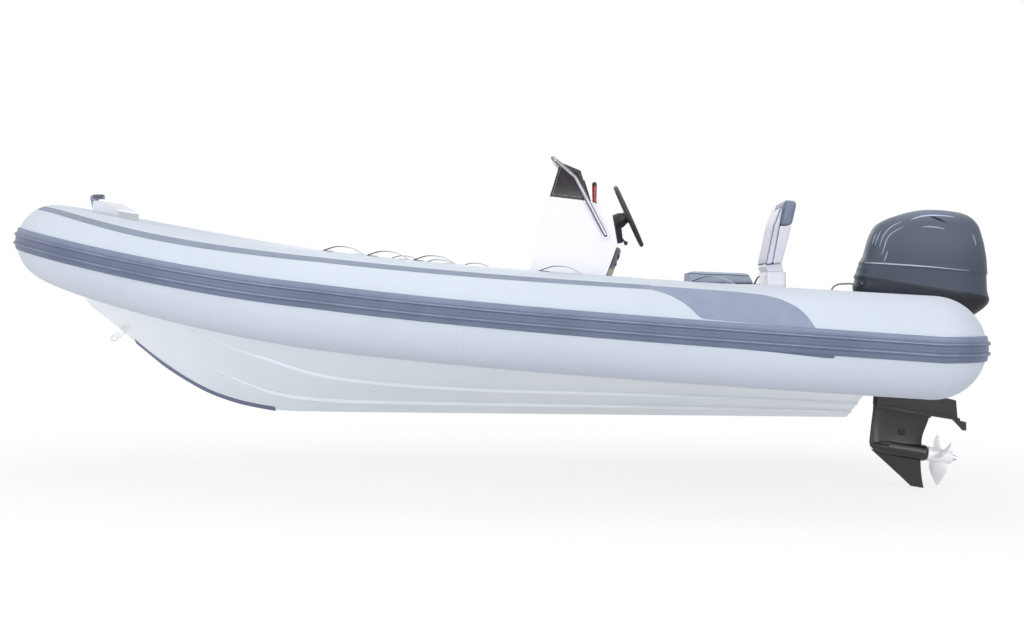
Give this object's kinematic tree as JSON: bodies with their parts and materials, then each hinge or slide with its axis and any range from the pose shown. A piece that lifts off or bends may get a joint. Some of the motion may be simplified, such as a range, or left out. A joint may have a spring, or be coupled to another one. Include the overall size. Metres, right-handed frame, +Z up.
{
  "type": "rigid inflatable boat",
  "caption": "Rigid inflatable boat with pale tubes, a V hull, a centre console with tinted screen, a helm seat and an outboard engine that steers and tilts",
  "frame": {"origin": "on the water plane, on the centre plane, halfway along the boat", "axes": "+X to the bow, +Y to port, +Z up"},
  "size_m": [5.2095, 2.2338, 1.7263],
  "materials": {
    "tube_fabric": "matte coated fabric",
    "strake_rubber": "matte",
    "handle_web": "matte",
    "gelcoat": "gloss",
    "flap_board": "satin",
    "tint": "clear tinted",
    "steel": "polished",
    "black_plastic": "matte",
    "navy_plastic": "satin",
    "cushion": "matte",
    "cushion_pale": "matte",
    "cowl_paint": "gloss",
    "leg_paint": "satin",
    "prop_paint": "gloss",
    "lamp": "gloss"
  },
  "bodies": {
    "boat": {"tube_port": "tube_fabric", "tube_starboard": "tube_fabric", "tube_bow": "tube_fabric", "strake_port": "strake_rubber", "strake_starboard": "strake_rubber", "strake_bow": "strake_rubber", "handles_port": "handle_web", "handles_starboard": "handle_web", "hull": "gelcoat", "transom": "gelcoat", "sole": "gelcoat", "bow_locker": "gelcoat", "console": "gelcoat", "seat_base": "gelcoat", "backrest_foot": "gelcoat", "keel_guard": "steel", "bow_eye": "steel", "stern_eyes": "steel", "locker_hinges": "steel", "flap_hinges": "steel", "seat_hinges": "steel", "bow_bracket": "steel", "console_rail": "steel", "seat_catch": "steel", "thrust_rod": "steel", "windscreen": "tint", "bow_light_lens": "lamp", "bow_light_ends": "black_plastic", "helm_box": "black_plastic", "control_lever": "black_plastic", "control_box": "navy_plastic", "backrest_cap": "cushion", "backrest_pad": "cushion", "backrest_shell": "cushion_pale", "clamp_bracket": "leg_paint"},
    "locker_lid": {"bow_locker_lid": "gelcoat"},
    "seat_lid": {"seat_cushion": "cushion"},
    "flap": {"console_flap": "flap_board"},
    "wheel": {"steering_wheel": "black_plastic"},
    "swivel": {"swivel_bracket": "leg_paint"},
    "engine": {"steering_yoke": "leg_paint", "midsection": "leg_paint", "lower_unit": "leg_paint", "trim_tab": "leg_paint", "bottom_cowl": "cowl_paint", "top_cowl": "cowl_paint"},
    "prop": {"propeller": "prop_paint", "propeller_shaft": "steel"}
  },
  "joints": [
    {"name": "locker_lid_hinge", "type": "hinge", "parent": "boat", "child": "locker_lid", "pos_m": [1.292, 0, 0.604], "axis": [0, -1, 0], "range_deg": [0, 80]},
    {"name": "seat_lid_hinge", "type": "hinge", "parent": "boat", "child": "seat_lid", "pos_m": [-1.147, 0, 0.442], "axis": [0, 1, 0], "range_deg": [0, 85]},
    {"name": "flap_hinge", "type": "hinge", "parent": "boat", "child": "flap", "pos_m": [-0.74642, 0, 0.47104], "axis": [0, -1, 0], "range_deg": [0, 80]},
    {"name": "engine_tilt", "type": "hinge", "parent": "boat", "child": "swivel", "pos_m": [-1.99, 0, 0.293], "axis": [0, 1, 0], "range_deg": [0, 50]},
    {"name": "engine_steer", "type": "hinge", "parent": "swivel", "child": "engine", "pos_m": [-2.09371, 0, 0.27657], "axis": [-0.1564, 0, 0.9877], "range_deg": [-30, 30]},
    {"name": "wheel_turn", "type": "hinge", "parent": "boat", "child": "wheel", "pos_m": [-0.85657, 0, 0.79963], "axis": [-0.9106, 0, 0.4133], "range_deg": [-540, 540]},
    {"name": "propeller_spin", "type": "hinge", "parent": "engine", "child": "prop", "pos_m": [-2.47661, 0, -0.45736], "axis": [0.9877, 0, 0.1564], "continuous": true}
  ],
  "couplings": [
    {"joint": "wheel_turn", "follows": "engine_steer", "ratio": -18}
  ]
}
